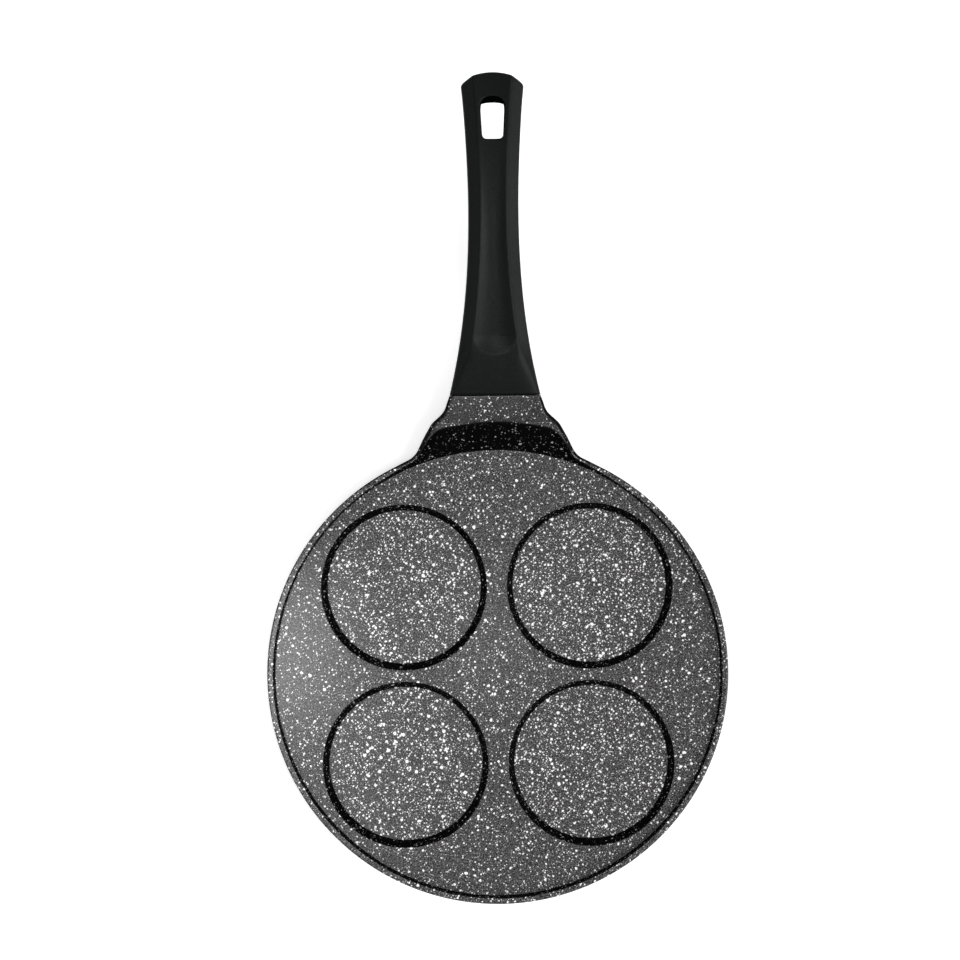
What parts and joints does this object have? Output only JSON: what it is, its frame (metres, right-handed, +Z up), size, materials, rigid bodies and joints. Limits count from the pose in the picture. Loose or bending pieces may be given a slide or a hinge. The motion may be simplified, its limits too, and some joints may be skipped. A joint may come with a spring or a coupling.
{
  "type": "pancake pan",
  "caption": "Flat round cast pan with shallow round wells for small pancakes, a low rim, a speckled dark coating and a dark moulded handle with a hanging slot.",
  "frame": {"origin": "middle of the base, on the surface the pan stands on", "axes": "+Y towards the end of the handle, +Z up, +X to the right seen with the handle away from the viewer"},
  "size_m": [0.2596, 0.4619, 0.0519],
  "materials": {
    "coated_aluminium": "cast, dark grey non-stick coating with pale specks",
    "phenolic": "moulded, soft-touch matt black",
    "plate_steel": "turned face, pressed into the casting",
    "screw_steel": "bright zinc plated"
  },
  "bodies": {
    "root": {"pan_body": "coated_aluminium", "induction_plate": "plate_steel", "handle": "phenolic", "handle_screw": "screw_steel", "flat_washer": "screw_steel", "spring_washer": "screw_steel"}
  },
  "joints": []
}
